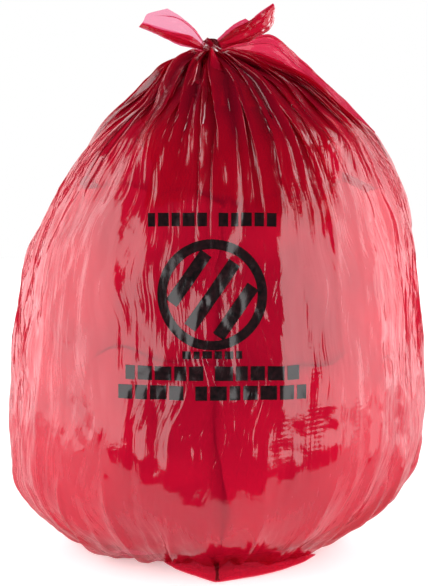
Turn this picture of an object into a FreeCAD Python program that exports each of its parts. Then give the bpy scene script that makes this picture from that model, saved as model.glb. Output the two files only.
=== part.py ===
"""A filled waste bag of thin film, gathered and knotted with its own two ears.

Millimetres.  +Z is up, the front faces -Y, and the origin is the middle of the flat patch
that the bag stands on.  The bag leans on nothing: its lowest face is at Z = 0.
"""
import FreeCAD, Part
import math
import os

import Sketcher

V = FreeCAD.Vector

# ---------------------------------------------------------------- driving dimensions
DIMENSIONS = {
    # the body: a bowl under the belly, then named stations up to the mouth
    "belly_height": 115.0,
    "belly_half_width": 194.0,
    "patch_half_width": 85.0,
    "body_depth_ratio": 0.88,       # depth of each section over its width
    "wall": 1.0,                    # film and its folds, thicker than one layer of real film
    "waist_height": 210.0,
    "waist_half_width": 189.0,
    "waist_shift": 3.0,
    "chest_height": 300.0,
    "chest_half_width": 173.0,
    "chest_shift": 10.0,
    "shoulder_height": 358.0,
    "shoulder_half_width": 145.0,
    "shoulder_shift": 14.0,
    "collar_height": 405.0,
    "collar_half_width": 97.0,
    "collar_shift": 8.0,
    "mouth_height": 436.0,
    "mouth_half_width": 46.0,
    "mouth_shift": -2.0,
    # the gathered neck and the knot above it
    "gather_height": 446.0,
    "gather_half_width": 25.0,
    "throat_height": 453.0,
    "throat_half_width": 11.0,
    "neck_shift": -4.0,
    "knot_height": 461.0,
    "knot_half_width": 9.0,
    "knot_half_height": 7.5,
    "knot_wrap_ring": 7.2,
    "knot_wrap_thickness": 2.2,
    "knot_wrap_tilt": 34.0,
    # the two ears; points are measured from each ear's own hinge
    "ear_thickness": 9.0,
    "ear_edge_round": 1.6,
    "ear_root": 5.0,
    "left_ear_reach": 15.0,         # from the knot's middle to the hinge
    "left_ear_rise": 1.0,
    "left_ear_top_x": -8.5,
    "left_ear_top_z": 23.0,
    "left_ear_corner_x": -25.0,
    "left_ear_corner_z": 34.5,
    "left_ear_tip_x": -51.0,
    "left_ear_tip_z": 17.5,
    "left_ear_edge_x": -31.0,
    "left_ear_edge_z": 8.5,
    "right_ear_reach": 15.0,
    "right_ear_rise": 5.0,
    "right_ear_top_x": 15.5,
    "right_ear_top_z": 20.0,
    "right_ear_corner_x": 33.0,
    "right_ear_corner_z": 29.5,
    "right_ear_tip_x": 41.5,
    "right_ear_tip_z": 35.0,
    "right_ear_edge_x": 40.0,
    "right_ear_edge_z": 14.0,
    # loose film that stands up behind the knot, on the right
    "flap_thickness": 5.0,
    "flap_setback": 15.0,
    "flap_peak_x": 42.0,
    "flap_peak_z": 469.0,
    "flap_end_x": 143.0,
    "flap_end_z": 383.0,
    "flap_foot_x": 2.0,
    "flap_foot_z": 452.0,
    # the tail of the star seal, pressed out in front of the bag on the floor
    "seal_thickness": 3.0,
    "seal_left": 56.0,
    "seal_right": 92.0,
    "seal_back": 62.0,
    "seal_shoulder": 106.0,
    "seal_tip": 137.0,
    "seal_tip_half_width": 7.0,
    # the print
    "ink": 0.5,
    "mark_height": 256.0,
    "mark_shift": -3.0,
    "mark_radius": 46.0,
    "mark_band": 8.0,
    "bar_width": 11.0,
    "bar_spacing": 24.0,
    "bar_tilt": 35.0,
    "arc_row_height": 318.0,
    "arc_row_radius": 2400.0,
    "arc_row_block": 11.0,
    "small_row_height": 206.0,
    "small_row_block": 6.5,
    "upper_row_height": 190.5,
    "upper_row_block": 12.0,
    "lower_row_height": 174.0,
    "lower_row_block": 12.0,
    "block_gap": 2.4,
}

# Waste bundles inside: name, middle (x, y, z) and half sizes (x, y, z)
BUNDLES = {
    "waste_bundle_low_left": ((-94, 0, 100), (86, 126, 88)),
    "waste_bundle_low_right": ((94, 0, 100), (86, 126, 88)),
    "waste_bundle_mid_left": ((-80, 0, 258), (82, 112, 64)),
    "waste_bundle_mid_right": ((92, 0, 256), (82, 112, 62)),
    "waste_bundle_top": ((10, 0, 366), (86, 78, 38)),
}

# Widths of the blocks in each printed row, from left to right
ARC_ROW = (6, 9, 7, 10, 8, 0, 8, 6, 9, 8, 8)
SMALL_ROW = (7, 5, 8, 6, 7, 5)
UPPER_ROW = (8, 12, 14, 10, 12, 0, 15, 10, 12, 14, 10)
LOWER_ROW = (12, 10, 14, 12, 0, 10, 14, 9, 12, 14, 12, 8)
WORD_SPACE = 5.0                    # what a 0 in a row stands for

BOWL_STEPS = 5
PRISM_DEPTH = 260.0
NECK_STATIONS = ("mouth", "gather", "throat")
BODY_STATIONS = ("waist", "chest", "shoulder", "collar", "mouth")

doc = FreeCAD.newDocument("waste_bag")


def make_sheet():
    """Put the driving dimensions in the document's spreadsheet, one alias a row."""
    sheet = doc.addObject("Spreadsheet::Sheet", "Sizes")
    for row, (alias, value) in enumerate(DIMENSIONS.items(), start=1):
        sheet.set(f"A{row}", alias.replace("_", " "))
        sheet.set(f"B{row}", str(value))
        sheet.setAlias(f"B{row}", alias)
    for name, (middle, half) in BUNDLES.items():
        for axis, place, size in zip("xyz", middle, half):
            for word, value in (("at", place), ("half", size)):
                row += 1
                alias = f"{name}_{word}_{axis}"
                sheet.set(f"A{row}", alias.replace("_", " "))
                sheet.set(f"B{row}", str(value))
                sheet.setAlias(f"B{row}", alias)
    doc.recompute()
    return sheet


def bind(thing, **expressions):
    """Bind properties of an object to cells of the sheet; __ in a name stands for a dot."""
    for name, expression in expressions.items():
        thing.setExpression(name.replace("__", "."), expression)
    return thing


# ---------------------------------------------------------------- the body and the neck
def section(name, height, half_width, shift, grow):
    """One elliptical section of the bag, grown outwards by a distance."""
    ellipse = doc.addObject("Part::Ellipse", name)
    bind(
        ellipse,
        MajorRadius=f"({half_width}) + ({grow})",
        MinorRadius=f"({half_width}) * Sizes.body_depth_ratio + ({grow})",
        Placement__Base__x=shift,
        Placement__Base__z=height,
    )
    return ellipse


def body_loft(name, grow):
    """The pear shape of the filled bag: a round bowl, then its stations up to the mouth."""
    lift = f"min(0; {grow}) * -1"
    sections = []
    for step in range(BOWL_STEPS):
        share = (step / BOWL_STEPS) ** 1.6
        bulge = math.sqrt(1 - (1 - share) ** 2)
        half = (
            f"Sizes.patch_half_width + (Sizes.belly_half_width - Sizes.patch_half_width)"
            f" * {bulge:.6f}"
        )
        height = f"Sizes.belly_height * {share:.6f} + {lift} * {1 - share:.6f}"
        sections.append(section(f"{name}_bowl_{step}", height, half, "0", grow))
    sections.append(
        section(f"{name}_belly", "Sizes.belly_height", "Sizes.belly_half_width", "0", grow)
    )
    for word in BODY_STATIONS:
        sections.append(
            section(
                f"{name}_{word}",
                f"Sizes.{word}_height",
                f"Sizes.{word}_half_width",
                f"Sizes.{word}_shift",
                grow,
            )
        )
    loft = doc.addObject("Part::Loft", name)
    loft.Sections = sections
    loft.Solid = True
    return loft


def cut(name, base, tool, label=None):
    """Base minus tool."""
    result = doc.addObject("Part::Cut", name)
    result.Base = base
    result.Tool = tool
    result.Label = label or name
    return result


def common(name, base, tool, label=None):
    """What base and tool share."""
    result = doc.addObject("Part::Common", name)
    result.Base = base
    result.Tool = tool
    result.Label = label or name
    return result


def fuse(name, shapes, label=None):
    """Several shapes joined."""
    result = doc.addObject("Part::MultiFuse", name)
    result.Shapes = shapes
    result.Label = label or name
    return result


def make_film_body():
    """The film shell: outer loft minus inner loft, open where the neck gathers."""
    outer = body_loft("outer", "0")
    inner = body_loft("inner", "-Sizes.wall")
    return outer, cut("film_shell", outer, inner, "film_body")


def make_neck():
    """The gathered film from the mouth up to the throat under the knot."""
    sections = []
    for word in NECK_STATIONS:
        shift = "Sizes.mouth_shift" if word == "mouth" else "Sizes.neck_shift"
        sections.append(
            section(f"neck_{word}", f"Sizes.{word}_height", f"Sizes.{word}_half_width", shift, "0")
        )
    neck = doc.addObject("Part::Loft", "neck")
    neck.Sections = sections
    neck.Solid = True
    neck.Label = "gathered_neck"
    return neck


def make_knot():
    """A tight overhand knot: a squashed core with one tilted wrap of film around it."""
    core = doc.addObject("Part::Ellipsoid", "knot_core")
    bind(
        core,
        Radius1="Sizes.knot_half_height",
        Radius2="Sizes.knot_half_width",
        Radius3="Sizes.knot_half_width",
        Placement__Base__x="Sizes.neck_shift",
        Placement__Base__z="Sizes.knot_height",
    )
    wrap = doc.addObject("Part::Torus", "knot_wrap")
    wrap.Placement.Rotation = FreeCAD.Rotation(V(0, 1, 0), DIMENSIONS["knot_wrap_tilt"])
    bind(
        wrap,
        Radius1="Sizes.knot_wrap_ring",
        Radius2="Sizes.knot_wrap_thickness",
        Placement__Base__x="Sizes.neck_shift",
        Placement__Base__z="Sizes.knot_height",
        Placement__Rotation__Angle="Sizes.knot_wrap_tilt",
    )
    return fuse("knot_solid", [core, wrap], "knot")


# ---------------------------------------------------------------- flat pieces from sketches
def new_sketch(body, plane, name):
    """An empty sketch on one of a body's own origin planes."""
    sketch = body.newObject("Sketcher::SketchObject", name)
    support = next(f for f in body.Origin.OriginFeatures if f.Role == plane)
    sketch.AttachmentSupport = (support, [""])
    sketch.MapMode = "FlatFace"
    return sketch


def pin_vertex(sketch, edge, point, x_cell, y_cell):
    """Hold one end of a sketch edge at a place given by two expressions."""
    for kind, cell in (("DistanceX", x_cell), ("DistanceY", y_cell)):
        index = sketch.addConstraint(Sketcher.Constraint(kind, -1, 1, edge, point, 1.0))
        sketch.setExpression(f"Constraints[{index}]", cell)


def cell_value(expression):
    """The number that a simple expression of the sheet starts from."""
    words = {f"Sizes.{alias}": value for alias, value in DIMENSIONS.items()}
    sign = -1 if expression.startswith("-") else 1
    return sign * words[expression.lstrip("-")]


def draw_polygon(sketch, corners):
    """A closed polygon whose corners are pairs of expressions."""
    places = [V(cell_value(x), cell_value(y), 0) for x, y in corners]
    for start, end in zip(places, places[1:] + places[:1]):
        sketch.addGeometry(Part.LineSegment(start, end), False)
    count = len(corners)
    for edge in range(count):
        following = (edge + 1) % count
        sketch.addConstraint(Sketcher.Constraint("Coincident", edge, 2, following, 1))
    for edge, (x, y) in enumerate(corners):
        pin_vertex(sketch, edge, 1, x, y)


def pad(body, sketch, length, both_ways):
    """A pad of a sketch, on one side of it or on both."""
    feature = body.newObject("PartDesign::Pad", f"{body.Name}_pad")
    feature.Profile = sketch
    feature.setExpression("Length", length)
    feature.SideType = "Symmetric" if both_ways else "One side"
    return feature


def make_ear(side, sign):
    """One ear: a leaf of folded film with a round root that turns at the knot."""
    name = f"ear_{side}"
    body = doc.addObject("PartDesign::Body", name)
    sketch = new_sketch(body, "XZ_Plane", f"{name}_outline")
    root = DIMENSIONS["ear_root"]
    start, end = (90, 270) if sign > 0 else (-90, 90)
    circle = Part.Circle(V(0, 0, 0), V(0, 0, 1), root)
    arc = sketch.addGeometry(
        Part.ArcOfCircle(circle, math.radians(start), math.radians(end)), False
    )
    sketch.addConstraint(Sketcher.Constraint("Coincident", arc, 3, -1, 1))
    radius = sketch.addConstraint(Sketcher.Constraint("Radius", arc, root))
    sketch.setExpression(f"Constraints[{radius}]", "Sizes.ear_root")
    for end_point in (1, 2):
        sketch.addConstraint(Sketcher.Constraint("PointOnObject", arc, end_point, -2))
    words = [f"Sizes.{side}_ear_{word}" for word in ("top", "corner", "tip", "edge")]
    places = [V(cell_value(f"{w}_x"), cell_value(f"{w}_z"), 0) for w in words]
    places = [V(0, root, 0)] + places + [V(0, -root, 0)]
    lines = [
        sketch.addGeometry(Part.LineSegment(a, b), False) for a, b in zip(places, places[1:])
    ]
    upper, lower = (1, 2) if sign > 0 else (2, 1)
    sketch.addConstraint(Sketcher.Constraint("Coincident", arc, upper, lines[0], 1))
    sketch.addConstraint(Sketcher.Constraint("Coincident", lines[-1], 2, arc, lower))
    for before, after, word in zip(lines, lines[1:], words):
        sketch.addConstraint(Sketcher.Constraint("Coincident", before, 2, after, 1))
        pin_vertex(sketch, after, 1, f"{word}_x", f"{word}_z")
    thickness = pad(body, sketch, "Sizes.ear_thickness", True)
    doc.recompute()
    rim = [
        f"Edge{i + 1}"
        for i, edge in enumerate(thickness.Shape.Edges)
        if abs(abs(edge.CenterOfMass.y) - DIMENSIONS["ear_thickness"] / 2) < 0.01
    ]
    rounding = body.newObject("PartDesign::Fillet", f"{name}_round")
    rounding.Base = (thickness, rim)
    rounding.setExpression("Radius", "Sizes.ear_edge_round")
    body.Tip = rounding
    reach = f"{sign} * Sizes.{side}_ear_reach"
    bind(
        body,
        Placement__Base__x=f"Sizes.neck_shift + {reach}",
        Placement__Base__z=f"Sizes.knot_height + Sizes.{side}_ear_rise",
    )
    return body


def make_shoulder_flap(outer, neck):
    """A fold of slack film between the knot and the right shoulder, behind the ears."""
    body = doc.addObject("PartDesign::Body", "flap_blank")
    sketch = new_sketch(body, "XZ_Plane", "flap_outline")
    draw_polygon(
        sketch,
        [
            ("Sizes.flap_foot_x", "Sizes.flap_foot_z"),
            ("Sizes.flap_peak_x", "Sizes.flap_peak_z"),
            ("Sizes.flap_end_x", "Sizes.flap_end_z"),
            ("Sizes.flap_foot_x", "Sizes.flap_end_z"),
        ],
    )
    body.Tip = pad(body, sketch, "Sizes.flap_thickness", True)
    bind(body, Placement__Base__y="Sizes.flap_setback")
    dome = fuse("flap_seat", [outer, neck])
    return cut("flap_trimmed", body, dome, "shoulder_flap")


def make_seal_tail(outer):
    """The flat, heat-sealed tail of the bag's bottom, out in front on the floor."""
    body = doc.addObject("PartDesign::Body", "seal_blank")
    sketch = new_sketch(body, "XY_Plane", "seal_outline")
    draw_polygon(
        sketch,
        [
            ("-Sizes.seal_left", "-Sizes.seal_back"),
            ("-Sizes.seal_left", "-Sizes.seal_shoulder"),
            ("-Sizes.seal_tip_half_width", "-Sizes.seal_tip"),
            ("Sizes.seal_tip_half_width", "-Sizes.seal_tip"),
            ("Sizes.seal_right", "-Sizes.seal_shoulder"),
            ("Sizes.seal_right", "-Sizes.seal_back"),
        ],
    )
    body.Tip = pad(body, sketch, "Sizes.seal_thickness", False)
    return cut("seal_trimmed", body, outer, "seal_tail")


# ---------------------------------------------------------------- the print
def prism(name, width, height, x, z, turn=0.0):
    """A block that runs from the bag's middle plane out through its front."""
    box = doc.addObject("Part::Box", name)
    box.Length = width
    box.Width = PRISM_DEPTH
    box.Height = height
    corner = V(-width / 2, -PRISM_DEPTH, -height / 2)
    rotation = FreeCAD.Rotation(V(0, 1, 0), turn)
    box.Placement = FreeCAD.Placement(V(x, 0, z) + rotation.multVec(corner), rotation)
    return box


def ink_on_film(name, grown, outer, prisms):
    """Ink: the part of the prisms between the film and the same film grown by the ink."""
    return cut(f"{name}_on_film", common(f"{name}_plug", grown, prisms), outer, name)


def make_mark(grown, outer):
    """A plain ring with slanting bars inside it."""
    rings = []
    for word, size in (("rim", "Sizes.mark_radius"), ("gap", "Sizes.mark_radius - Sizes.mark_band")):
        disc = doc.addObject("Part::Cylinder", f"mark_{word}")
        disc.Placement.Rotation = FreeCAD.Rotation(V(1, 0, 0), 90)
        bind(
            disc,
            Radius=size,
            Placement__Base__x="Sizes.mark_shift",
            Placement__Base__z="Sizes.mark_height",
        )
        disc.Height = PRISM_DEPTH
        rings.append(disc)
    rim, gap = rings
    ring = cut("mark_ring", rim, gap)
    tilt = DIMENSIONS["bar_tilt"]
    radius = DIMENSIONS["mark_radius"] - DIMENSIONS["mark_band"]
    across = V(math.cos(math.radians(tilt)), 0, -math.sin(math.radians(tilt)))
    bars = []
    for place in (-1, 0, 1):
        offset = place * DIMENSIONS["bar_spacing"]
        middle = across * offset
        half = math.sqrt(radius**2 - offset**2) * 0.86
        bar = prism(
            f"mark_bar_{place + 1}",
            DIMENSIONS["bar_width"],
            2 * half,
            DIMENSIONS["mark_shift"] + middle.x,
            DIMENSIONS["mark_height"] + middle.z,
            tilt,
        )
        bars.append(bar)
    solid = fuse("mark_prisms", [ring] + bars)
    return ink_on_film("print_mark", grown, outer, solid)


def make_row(grown, outer, name, widths, height_cell, block_cell, radius_cell=None):
    """A row of plain blocks, straight or along a wide arc."""
    gap = DIMENSIONS["block_gap"]
    spans = [width if width else WORD_SPACE for width in widths]
    total = sum(spans) + gap * (len(spans) - 1)
    x = -total / 2
    blocks = []
    for index, (width, span) in enumerate(zip(widths, spans)):
        middle = x + span / 2
        x += span + gap
        if not width:
            continue
        z = DIMENSIONS[height_cell]
        turn = 0.0
        if radius_cell:
            radius = DIMENSIONS[radius_cell]
            turn = math.degrees(math.asin(middle / radius))
            z -= radius * (1 - math.cos(math.radians(turn)))
        blocks.append(
            prism(
                f"{name}_block_{index}",
                width,
                DIMENSIONS[block_cell],
                DIMENSIONS["mark_shift"] + middle,
                z,
                turn,
            )
        )
    return ink_on_film(name, grown, outer, fuse(f"{name}_prisms", blocks))


def make_print(outer):
    """The ink: a mark, and four rows of blocks above and below it."""
    grown = body_loft("ink_outer", "Sizes.ink")
    rows = (
        ("arc", ARC_ROW, "arc_row_radius"),
        ("small", SMALL_ROW, None),
        ("upper", UPPER_ROW, None),
        ("lower", LOWER_ROW, None),
    )
    pieces = [make_mark(grown, outer)]
    for word, widths, radius_cell in rows:
        cells = (f"{word}_row_height", f"{word}_row_block", radius_cell)
        pieces.append(make_row(grown, outer, f"print_row_{word}", widths, *cells))
    return pieces


# ---------------------------------------------------------------- what the bag holds
def make_bundle(name):
    """One soft bundle of waste inside the bag."""
    bundle = doc.addObject("Part::Ellipsoid", name)
    bind(
        bundle,
        Radius1=f"Sizes.{name}_half_z",
        Radius2=f"Sizes.{name}_half_x",
        Radius3=f"Sizes.{name}_half_y",
        Placement__Base__x=f"Sizes.{name}_at_x",
        Placement__Base__y=f"Sizes.{name}_at_y",
        Placement__Base__z=f"Sizes.{name}_at_z",
    )
    return bundle


# ---------------------------------------------------------------- check and write
def check(pieces):
    """Stop on any failed object, and on any sub-part that is empty or not valid."""
    for thing in doc.Objects:
        if "Invalid" in thing.State or "Error" in thing.State:
            raise RuntimeError(f"{thing.Name} failed: {thing.State}")
    for piece in pieces:
        shape = piece.Shape
        if shape.isNull() or not shape.isValid() or shape.Volume <= 0:
            raise RuntimeError(f"{piece.Label} has no valid shape")


def write(pieces):
    """One STEP file a sub-part, named by its Label."""
    os.makedirs("parts", exist_ok=True)
    for piece in pieces:
        piece.Shape.exportStep(f"parts/{piece.Label}.step")
        box = piece.Shape.optimalBoundingBox(False)
        print(
            f"{piece.Label:24s} solids {len(piece.Shape.Solids):2d}"
            f"  volume {piece.Shape.Volume / 1000:9.2f} cm3"
            f"  X {box.XMin:7.1f} {box.XMax:7.1f}"
            f"  Y {box.YMin:7.1f} {box.YMax:7.1f}"
            f"  Z {box.ZMin:7.2f} {box.ZMax:7.1f}"
        )


make_sheet()
outer_loft, film_body = make_film_body()
gathered_neck = make_neck()
sub_parts = [
    film_body,
    gathered_neck,
    make_knot(),
    make_ear("left", -1),
    make_ear("right", 1),
    make_shoulder_flap(outer_loft, gathered_neck),
    make_seal_tail(outer_loft),
    *make_print(outer_loft),
    *[make_bundle(name) for name in BUNDLES],
]
doc.recompute()
check(sub_parts)
write(sub_parts)
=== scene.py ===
"""Looks of a filled, knotted waste bag of thin red film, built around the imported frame.

Metres, +Z up, the printed front faces -Y.  The film is relaxed by a small cloth solver of its
own: a net of springs as long as the real film tube is round, held round what fills the bag.
"""

import math

import bpy
import numpy as np
from mathutils import Matrix, Vector
from mathutils.bvhtree import BVHTree


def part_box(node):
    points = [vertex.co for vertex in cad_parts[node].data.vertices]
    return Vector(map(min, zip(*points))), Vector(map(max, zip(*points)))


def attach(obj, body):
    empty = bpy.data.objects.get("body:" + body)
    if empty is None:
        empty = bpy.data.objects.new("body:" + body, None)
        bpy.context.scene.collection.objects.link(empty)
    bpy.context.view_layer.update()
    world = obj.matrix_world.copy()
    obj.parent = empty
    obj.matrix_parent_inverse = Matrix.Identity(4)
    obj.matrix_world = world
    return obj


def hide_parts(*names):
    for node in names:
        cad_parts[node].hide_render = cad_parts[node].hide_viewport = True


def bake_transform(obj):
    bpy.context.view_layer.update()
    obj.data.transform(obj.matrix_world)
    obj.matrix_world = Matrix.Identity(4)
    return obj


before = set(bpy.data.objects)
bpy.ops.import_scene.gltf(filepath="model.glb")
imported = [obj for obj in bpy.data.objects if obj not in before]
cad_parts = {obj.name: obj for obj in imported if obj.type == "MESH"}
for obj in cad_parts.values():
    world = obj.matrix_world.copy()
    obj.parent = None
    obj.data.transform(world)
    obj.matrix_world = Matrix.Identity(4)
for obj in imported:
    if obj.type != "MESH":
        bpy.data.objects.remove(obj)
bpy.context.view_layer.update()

# ---------------------------------------- driving dimensions
AXIS_X = -0.004                     # the knot and the throat stand on this line
SLACK_ROUND = 0.03                  # film round the bag that is left over, at most, as a share
FILM_ROUND = 1.22                   # the flat bag is 0.61 m wide: twice that round
FILM_ALONG = 0.70                   # film from the throat to the middle of the seal
PLEATS = 54                         # pleats that take up the film left over at the knot
PLEAT_ENDS = (0.10, 0.30)           # how far from the knot the pleats die out
GRIP = 0.02                         # how firmly film stays put along the surface, each round
BACKING = 0.01                      # how firmly it returns to the filled shape, each round
BUNDLE_SPLIT, BUNDLE_SHELF, BUNDLE_CROWN = 0.002, 0.191, 0.334   # where the bundles meet
BUNDLE_LOWEST, BUNDLE_HIGHEST, BUNDLE_GAP = 0.006, 0.425, 0.011  # and their room in the film
RIPPLE_PITCH = 0.0042               # fine cross ripples in a few columns down the front
RIPPLE_COLUMNS = ((0.048, 0.066), (0.078, 0.096), (0.124, 0.144))
RIPPLE_MIDDLE, RIPPLE_HALF = 0.30, 0.17
KNOT_Z, CORE_REACH, CORE_HALF, WRAP_REACH = 0.461, 0.0092, 0.0085, 0.0084
GLOSS_MOST = 0.30                   # the most of the light that a glancing film mirrors
NECK_GLOSS_MOST = 0.08              # the same for the crushed film at the knot
PAINTED_VALLEY_SHADE = 0.45                 # painted shade: how dark the film colour is made deep in the pleat valleys, as a share

# The filled bag: height, then its reach from the axis to the left, right, front and back
STATIONS = np.array([
    (0.4570, 0.0070, 0.0070, 0.0070, 0.0070),
    (0.4530, 0.0110, 0.0110, 0.0110, 0.0110),
    (0.4490, 0.0220, 0.0260, 0.0210, 0.0220),
    (0.4430, 0.0400, 0.0500, 0.0380, 0.0400),
    (0.4320, 0.0520, 0.0820, 0.0600, 0.0620),
    (0.4120, 0.0700, 0.1080, 0.0840, 0.0880),
    (0.3800, 0.1050, 0.1440, 0.1120, 0.1180),
    (0.3450, 0.1290, 0.1650, 0.1360, 0.1420),
    (0.3050, 0.1510, 0.1810, 0.1520, 0.1580),
    (0.2600, 0.1690, 0.1890, 0.1620, 0.1660),
    (0.2100, 0.1760, 0.1965, 0.1675, 0.1700),
    (0.1600, 0.1810, 0.1990, 0.1700, 0.1720),
    (0.1150, 0.1840, 0.1970, 0.1705, 0.1720),
    (0.0800, 0.1830, 0.1880, 0.1640, 0.1700),
    (0.0500, 0.1720, 0.1680, 0.1500, 0.1600),
    (0.0250, 0.1500, 0.1360, 0.1280, 0.1450),
    (0.0090, 0.1320, 0.1150, 0.0980, 0.1220),
    (0.0015, 0.1000, 0.0850, 0.0730, 0.0980),
    (0.0000, 0.0700, 0.0650, 0.0560, 0.0700),
    (0.0000, 0.0350, 0.0350, 0.0300, 0.0340),
    (0.0000, 0.0040, 0.0040, 0.0040, 0.0040),
])

# Nets from coarse to fine: round, along, rounds of relaxing, push outwards (m), stiffness
NETS = (
    (128, 84, 140, 0.00012, 0.8),
    (256, 168, 100, 0.00006, 0.9),
    (556, 180, 60, 0.00003, 1.0),
)


# ---------------------------------------- small helpers
def smooth_curve(values, t):
    """A curve through values at t = 0, 1, 2 ... that never swings past them."""
    step = np.diff(values, axis=0)
    turn = step[:-1] * step[1:]
    slope = np.zeros_like(values)
    total = step[:-1] + step[1:]
    slope[1:-1] = np.where(turn > 0, 2 * turn / np.where(turn > 0, total, 1), 0)
    slope[0], slope[-1] = step[0], step[-1]
    i = np.clip(t.astype(int), 0, len(values) - 2)
    f = (t - i)[:, None]
    f2, f3 = f * f, f * f * f
    return (
        (2 * f3 - 3 * f2 + 1) * values[i]
        + (f3 - 2 * f2 + f) * slope[i]
        + (3 * f2 - 2 * f3) * values[i + 1]
        + (f3 - f2) * slope[i + 1]
    )


def length(vectors):
    """Lengths of vectors along the last axis."""
    return np.sqrt((vectors * vectors).sum(-1))


def unit(vectors):
    """The same vectors, one long."""
    return vectors / np.maximum(length(vectors)[..., None], 1e-12)


def resample(grid, round_count, along_count, smooth=False):
    """A grid of values, closed round, read at another count of columns and rows."""
    rows, columns = grid.shape[:2]
    u = np.arange(round_count) / round_count * columns
    v = np.linspace(0, rows - 1, along_count)
    i, j = u.astype(int), np.minimum(v.astype(int), rows - 2)
    fu, fv = u - i, v - j
    if smooth:
        fu, fv = fu * fu * (3 - 2 * fu), fv * fv * (3 - 2 * fv)
    extra = (None,) * (grid.ndim - 2)
    fu, fv = fu[(None, slice(None)) + extra], fv[(slice(None), None) + extra]
    near, far = i % columns, (i + 1) % columns
    upper = grid[j][:, near] * (1 - fu) + grid[j][:, far] * fu
    lower = grid[j + 1][:, near] * (1 - fu) + grid[j + 1][:, far] * fu
    return upper * (1 - fv) + lower * fv


def soft_noise(round_count, along_count, cells_round, cells_along, random):
    """Smooth random values on a grid that is closed round."""
    values = random.standard_normal((cells_along + 2, cells_round))
    return resample(values[:-1], round_count, along_count, smooth=True)


def grid_mesh(name, points, closed=False):
    """A mesh of quads from rows of points; closed joins each row's end to its start."""
    rows, columns = points.shape[:2]
    index = np.arange(rows * columns).reshape(rows, columns)
    following = np.roll(index, -1, axis=1)
    last = columns if closed else columns - 1
    quads = np.stack(
        [index[:-1, :last], index[1:, :last], following[1:, :last], following[:-1, :last]], -1
    ).reshape(-1, 4)
    mesh = bpy.data.meshes.new(name)
    mesh.from_pydata([], [], [])
    mesh.vertices.add(rows * columns)
    mesh.vertices.foreach_set("co", points.reshape(-1).astype(np.float32))
    mesh.loops.add(len(quads) * 4)
    mesh.loops.foreach_set("vertex_index", quads.reshape(-1).astype(np.int32))
    mesh.polygons.add(len(quads))
    mesh.polygons.foreach_set("loop_start", np.arange(0, len(quads) * 4, 4, dtype=np.int32))
    mesh.update(calc_edges=True)
    mesh.validate()
    mesh.shade_smooth()
    thing = bpy.data.objects.new(name, mesh)
    bpy.context.scene.collection.objects.link(thing)
    return thing


def lay_out(thing, columns, rows, wide, tall):
    """A UV map in metres of flat film, for a grid mesh that is closed round."""
    mesh = thing.data
    corner = np.empty(len(mesh.loops), np.int32)
    mesh.loops.foreach_get("vertex_index", corner)
    row, column = corner // columns, corner % columns
    quad = column.reshape(-1, 4)
    wraps = (quad.max(1) - quad.min(1)) > columns // 2
    column = np.where(wraps[:, None] & (quad == 0), columns, quad).reshape(-1)
    where = np.stack([column / columns * wide, row / (rows - 1) * tall], -1)
    layer = mesh.uv_layers.new(name="film")
    layer.data.foreach_set("uv", where.reshape(-1).astype(np.float32))


def dress(thing, material):
    """Give a piece its one material."""
    thing.data.materials.clear()
    thing.data.materials.append(material)
    return thing


# ---------------------------------------- the film's shape
def filled_shape(round_count, along_count):
    """The filled bag as a grid, from throat to seal, and the length of its rows' path."""
    t = np.linspace(0, len(STATIONS) - 1, 4001)
    path = smooth_curve(STATIONS, t)
    reach = path[:, 1:].mean(axis=1)
    walked = np.concatenate([[0], np.cumsum(np.hypot(np.diff(reach), np.diff(path[:, 0])))])
    even = np.interp(np.linspace(0, walked[-1], along_count), walked, t)
    height, left, right, front, back = smooth_curve(STATIONS, even).T[..., None]
    angle = np.arange(round_count) / round_count * 2 * math.pi
    east, north = np.sin(angle), -np.cos(angle)
    x = AXIS_X + np.where(east > 0, right, left) * east
    y = np.where(north < 0, front, back) * north
    z = np.broadcast_to(height, x.shape)
    return np.stack([x, y, z], -1), walked[-1]


def directions(grid):
    """Outward, round and along unit vectors of a grid that is closed round."""
    around = np.roll(grid, -1, 1) - np.roll(grid, 1, 1)
    out = unit(np.cross(np.gradient(grid, axis=0), around))
    out[0], out[-1] = (0, 0, 1), (0, 0, -1)
    around = unit(around)
    return out, around, np.cross(out, around)


def pull(a, b, rest, stiffness):
    """How far the first ends of springs move towards their rest length."""
    span = b - a
    now = length(span)
    return (0.5 * stiffness * (now - rest) / np.maximum(now, 1e-9))[..., None] * span


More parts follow.
